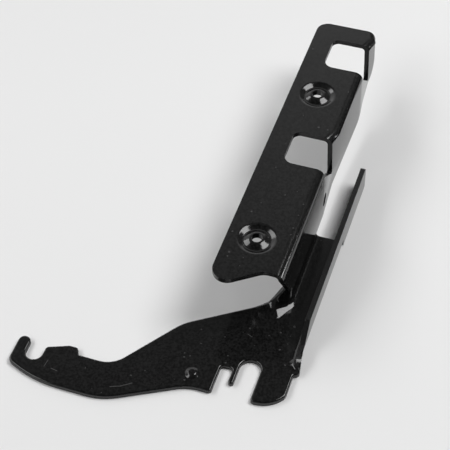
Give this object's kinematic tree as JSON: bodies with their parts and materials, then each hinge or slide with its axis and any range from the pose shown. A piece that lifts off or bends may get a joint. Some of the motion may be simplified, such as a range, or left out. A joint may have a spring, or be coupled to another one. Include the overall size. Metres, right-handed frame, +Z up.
{
  "type": "hinge arm",
  "caption": "Door hinge arm pressed from one steel sheet: a flat hooked lever with a pivot notch, an upright web, a wide windowed screw flange and a low side flange that forms a channel.",
  "frame": {"origin": "centre of the pivot notch on the underside of the lever", "axes": "+Y along the arm towards the free end of the flange, +X across it towards the side flange, +Z up from the surface it lies on"},
  "size_m": [0.1041, 0.1898, 0.0298],
  "materials": {
    "black_coat": "satin black coat over pressed steel sheet"
  },
  "bodies": {
    "root": {"hinge_arm": "black_coat"}
  },
  "joints": []
}
